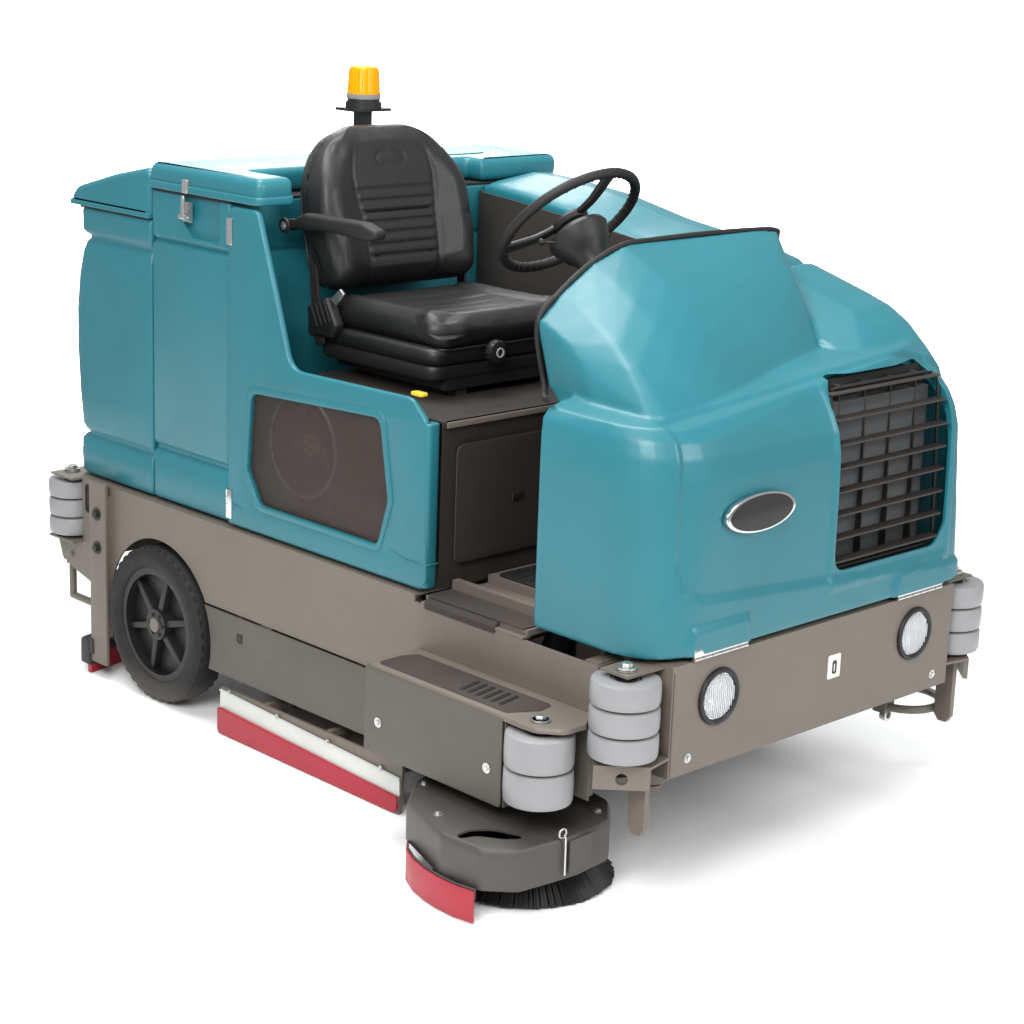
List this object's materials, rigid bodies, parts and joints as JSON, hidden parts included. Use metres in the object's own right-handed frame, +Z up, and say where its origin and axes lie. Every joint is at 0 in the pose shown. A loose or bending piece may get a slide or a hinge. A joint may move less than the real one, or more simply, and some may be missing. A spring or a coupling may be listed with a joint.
{
  "type": "ride-on floor scrubber",
  "caption": "Ride-on floor scrubber with cab seat, twin cylindrical brushes, side brush, squeegees and opening covers.",
  "frame": {"origin": "floor, under the centre of the machine's outline with the side brush lowered", "axes": "+Z up, front of the machine towards -Y, entry side towards -X, driver faces -Y"},
  "size_m": [1.69, 2.407, 1.778],
  "materials": {
    "frame_paint": "textured satin powder coat, grey-brown",
    "teal_shell": "smooth moulded polyethylene, deep teal",
    "dark_trim": "fine-grained matt black plastic",
    "cab_grey": "grained dark grey moulded plastic",
    "roller_rubber": "smooth light grey non-marking polyurethane",
    "tyre_rubber": "solid black rubber",
    "squeegee_rubber": "red squeegee rubber",
    "bristle": "black nylon bristle",
    "seat_vinyl": "black grained vinyl over foam",
    "zinc_steel": "bright zinc-plated steel",
    "lamp_glass": "clear fluted lens in a dark bezel",
    "amber_lens": "clear amber fluted acrylic",
    "yellow_latch": "yellow moulded plastic",
    "engine_metal": "painted cast metal",
    "screen_mesh": "dark perforated sheet"
  },
  "bodies": {
    "chassis": {"main_frame": "frame_paint", "front_corner_plates": "frame_paint", "step_box": "frame_paint", "roller_pins": "zinc_steel", "headlights": "lamp_glass", "rear_axle": "frame_paint", "frame_fittings": "frame_paint", "solution_tank": "teal_shell", "recovery_tank": "teal_shell", "left_side_panel": "teal_shell", "cab_bulkhead": "cab_grey", "footwell_floor": "cab_grey", "power_unit": "engine_metal", "latch_and_pedal_mounts": "zinc_steel", "dash_panel": "dark_trim"},
    "front_right_roller_stack": {"front_right_rollers": "roller_rubber"},
    "front_left_roller_stack": {"front_left_rollers": "roller_rubber"},
    "rear_right_roller_stack": {"rear_right_rollers": "roller_rubber"},
    "rear_left_roller_stack": {"rear_left_rollers": "roller_rubber"},
    "step_roller_stack": {"step_rollers": "roller_rubber"},
    "rear_right_wheel_set": {"rear_right_wheel": "tyre_rubber"},
    "rear_left_wheel_set": {"rear_left_wheel": "tyre_rubber"},
    "steering_fork_set": {"steering_fork": "frame_paint"},
    "drive_wheel_set": {"drive_wheel": "tyre_rubber"},
    "scrub_head_carriage": {"scrub_head": "frame_paint"},
    "front_brush": {"front_scrub_brush": "bristle"},
    "rear_brush": {"rear_scrub_brush": "bristle"},
    "right_squeegee": {"right_side_squeegee": "zinc_steel"},
    "left_squeegee": {"left_side_squeegee": "zinc_steel"},
    "rear_squeegee": {"rear_squeegee_frame": "zinc_steel", "rear_squeegee_blade": "squeegee_rubber"},
    "side_brush_swing_arm": {"side_brush_arm": "frame_paint"},
    "side_brush_head": {"side_brush_housing": "frame_paint"},
    "side_brush": {"side_brush_disc": "bristle"},
    "shroud": {"front_shroud": "teal_shell", "front_grille": "dark_trim", "shroud_fittings": "zinc_steel"},
    "hood": {"left_hood": "teal_shell"},
    "mid_lid": {"middle_lid": "teal_shell", "beacon_mast": "dark_trim", "beacon_lens": "amber_lens"},
    "tank_lid": {"rear_lid": "teal_shell"},
    "lid_latch": {"lid_latch_lever": "zinc_steel"},
    "access_door": {"side_door": "teal_shell", "window_screen": "screen_mesh"},
    "access_door_latch": {"door_latch_handle": "yellow_latch"},
    "right_skirt_door": {"right_brush_door": "frame_paint"},
    "left_skirt_door": {"left_brush_door": "frame_paint"},
    "seat_slide": {"seat_lower_pan": "dark_trim"},
    "seat_suspension": {"seat_frame": "dark_trim", "seat_cushion": "seat_vinyl"},
    "backrest": {"seat_backrest": "seat_vinyl"},
    "armrest_pad": {"armrest": "seat_vinyl"},
    "seat_weight_knob": {"weight_knob": "dark_trim"},
    "tilt_column": {"steering_column": "dark_trim"},
    "hand_wheel": {"steering_wheel": "dark_trim"},
    "horn": {"horn_button": "dark_trim"},
    "accelerator": {"accelerator_pedal": "dark_trim"},
    "brake": {"brake_pedal": "dark_trim"},
    "engine_fan": {"cooling_fan": "yellow_latch"}
  },
  "joints": [
    {"name": "front_right_roller_spin", "type": "hinge", "parent": "chassis", "child": "front_right_roller_stack", "pos_m": [-0.483, -1.1225, 0.46], "axis": [0, 0, 1], "continuous": true},
    {"name": "front_left_roller_spin", "type": "hinge", "parent": "chassis", "child": "front_left_roller_stack", "pos_m": [0.761, -1.1225, 0.46], "axis": [0, 0, 1], "continuous": true},
    {"name": "rear_right_roller_spin", "type": "hinge", "parent": "chassis", "child": "rear_right_roller_stack", "pos_m": [-0.461, 1.1225, 0.47], "axis": [0, 0, 1], "continuous": true},
    {"name": "rear_left_roller_spin", "type": "hinge", "parent": "chassis", "child": "rear_left_roller_stack", "pos_m": [0.739, 1.1225, 0.47], "axis": [0, 0, 1], "continuous": true},
    {"name": "step_roller_spin", "type": "hinge", "parent": "chassis", "child": "step_roller_stack", "pos_m": [-0.606, -0.9825, 0.335], "axis": [0, 0, 1], "continuous": true},
    {"name": "rear_right_wheel_roll", "type": "hinge", "parent": "chassis", "child": "rear_right_wheel_set", "pos_m": [-0.457, 0.6615, 0.225], "axis": [1, 0, 0], "continuous": true},
    {"name": "rear_left_wheel_roll", "type": "hinge", "parent": "chassis", "child": "rear_left_wheel_set", "pos_m": [0.735, 0.6615, 0.225], "axis": [1, 0, 0], "continuous": true},
    {"name": "drive_wheel_steer", "type": "hinge", "parent": "chassis", "child": "steering_fork_set", "pos_m": [0.139, -0.4975, 0.48], "axis": [0, 0, 1], "range_deg": [-70, 70]},
    {"name": "drive_wheel_roll", "type": "hinge", "parent": "steering_fork_set", "child": "drive_wheel_set", "pos_m": [0.139, -0.4975, 0.225], "axis": [1, 0, 0], "continuous": true},
    {"name": "scrub_head_lift", "type": "slide", "parent": "chassis", "child": "scrub_head_carriage", "axis": [0, 0, 1], "range_m": [0, 0.05]},
    {"name": "front_brush_spin", "type": "hinge", "parent": "scrub_head_carriage", "child": "front_brush", "pos_m": [0.139, -0.1025, 0.117], "axis": [1, 0, 0], "continuous": true},
    {"name": "rear_brush_spin", "type": "hinge", "parent": "scrub_head_carriage", "child": "rear_brush", "pos_m": [0.139, 0.1475, 0.117], "axis": [1, 0, 0], "continuous": true},
    {"name": "right_squeegee_raise", "type": "hinge", "parent": "chassis", "child": "right_squeegee", "pos_m": [-0.433, 0.0225, 0.135], "axis": [0, 1, 0], "range_deg": [0, 15]},
    {"name": "left_squeegee_raise", "type": "hinge", "parent": "chassis", "child": "left_squeegee", "pos_m": [0.711, 0.0225, 0.135], "axis": [0, -1, 0], "range_deg": [0, 15]},
    {"name": "rear_squeegee_lift", "type": "hinge", "parent": "chassis", "child": "rear_squeegee", "pos_m": [0.139, 0.9025, 0.33], "axis": [1, 0, 0], "range_deg": [0, 12]},
    {"name": "side_brush_swing", "type": "hinge", "parent": "chassis", "child": "side_brush_swing_arm", "pos_m": [-0.241, -0.9975, 0.225], "axis": [0, 0, 1], "range_deg": [-25, 0]},
    {"name": "side_brush_lift", "type": "slide", "parent": "side_brush_swing_arm", "child": "side_brush_head", "axis": [0, 0, 1], "range_m": [0, 0.03]},
    {"name": "side_brush_spin", "type": "hinge", "parent": "side_brush_head", "child": "side_brush", "pos_m": [-0.506, -0.8475, 0.1], "axis": [0, 0, 1], "continuous": true},
    {"name": "shroud_tilt", "type": "hinge", "parent": "chassis", "child": "shroud", "pos_m": [0.139, -1.1885, 0.581], "axis": [1, 0, 0], "range_deg": [0, 75]},
    {"name": "hood_open", "type": "hinge", "parent": "chassis", "child": "hood", "pos_m": [0.745, -0.0975, 1.24], "axis": [0, 1, 0], "range_deg": [0, 75]},
    {"name": "middle_lid_open", "type": "hinge", "parent": "chassis", "child": "mid_lid", "pos_m": [0.745, 0.5725, 1.446], "axis": [0, 1, 0], "range_deg": [0, 75]},
    {"name": "rear_lid_open", "type": "hinge", "parent": "chassis", "child": "tank_lid", "pos_m": [0.745, 0.9125, 1.356], "axis": [0, 1, 0], "range_deg": [0, 75]},
    {"name": "lid_latch_turn", "type": "hinge", "parent": "chassis", "child": "lid_latch", "pos_m": [-0.475, 0.5455, 1.385], "axis": [0, 1, 0], "range_deg": [-100, 0]},
    {"name": "access_door_swing", "type": "hinge", "parent": "chassis", "child": "access_door", "pos_m": [-0.471, 0.3605, 1], "axis": [0, 0, 1], "range_deg": [-100, 0]},
    {"name": "access_door_latch_turn", "type": "hinge", "parent": "access_door", "child": "access_door_latch", "pos_m": [-0.447, -0.3575, 1.06], "axis": [0, 0, 1], "range_deg": [0, 90]},
    {"name": "right_skirt_door_swing", "type": "hinge", "parent": "chassis", "child": "right_skirt_door", "pos_m": [-0.486, -0.3235, 0.25], "axis": [0, 0, 1], "range_deg": [0, 110]},
    {"name": "left_skirt_door_swing", "type": "hinge", "parent": "chassis", "child": "left_skirt_door", "pos_m": [0.764, -0.3235, 0.25], "axis": [0, 0, 1], "range_deg": [-110, 0]},
    {"name": "seat_fore_aft", "type": "slide", "parent": "chassis", "child": "seat_slide", "axis": [0, 1, 0], "range_m": [-0.12, 0]},
    {"name": "seat_bounce", "type": "slide", "parent": "seat_slide", "child": "seat_suspension", "axis": [0, 0, 1], "range_m": [-0.02, 0.03], "stiffness_N_per_m": 20000},
    {"name": "backrest_recline", "type": "hinge", "parent": "seat_suspension", "child": "backrest", "pos_m": [-0.016, 0.2245, 1.13], "axis": [1, 0, 0], "range_deg": [-2, 7]},
    {"name": "armrest_fold", "type": "hinge", "parent": "backrest", "child": "armrest_pad", "pos_m": [-0.311, 0.2925, 1.384], "axis": [1, 0, 0], "range_deg": [-75, 0]},
    {"name": "weight_knob_turn", "type": "hinge", "parent": "seat_suspension", "child": "seat_weight_knob", "pos_m": [-0.094, -0.2675, 1.112], "axis": [0, 1, 0], "continuous": true},
    {"name": "column_tilt", "type": "hinge", "parent": "chassis", "child": "tilt_column", "pos_m": [-0.016, -0.5767, 1.3148], "axis": [1, 0, 0], "range_deg": [-8, 8]},
    {"name": "hand_wheel_turn", "type": "hinge", "parent": "tilt_column", "child": "hand_wheel", "pos_m": [-0.016, -0.4325, 1.459], "axis": [0, 0.7071, 0.7071], "range_deg": [-420, 420]},
    {"name": "horn_press", "type": "slide", "parent": "hand_wheel", "child": "horn", "axis": [0, -0.7071, -0.7071], "range_m": [0, 0.003]},
    {"name": "accelerator_press", "type": "hinge", "parent": "chassis", "child": "accelerator", "pos_m": [0.099, -0.8975, 0.612], "axis": [1, 0, 0], "range_deg": [0, 18]},
    {"name": "brake_press", "type": "hinge", "parent": "chassis", "child": "brake", "pos_m": [-0.111, -0.8975, 0.612], "axis": [1, 0, 0], "range_deg": [0, 18]},
    {"name": "engine_fan_spin", "type": "hinge", "parent": "chassis", "child": "engine_fan", "pos_m": [-0.366, 0.1115, 0.835], "axis": [1, 0, 0], "continuous": true}
  ],
  "couplings": [
    {"joint": "hand_wheel_turn", "follows": "drive_wheel_steer", "ratio": 6},
    {"joint": "right_squeegee_raise", "follows": "scrub_head_lift", "rad_per_m": 5.2},
    {"joint": "left_squeegee_raise", "follows": "scrub_head_lift", "rad_per_m": 5.2}
  ]
}
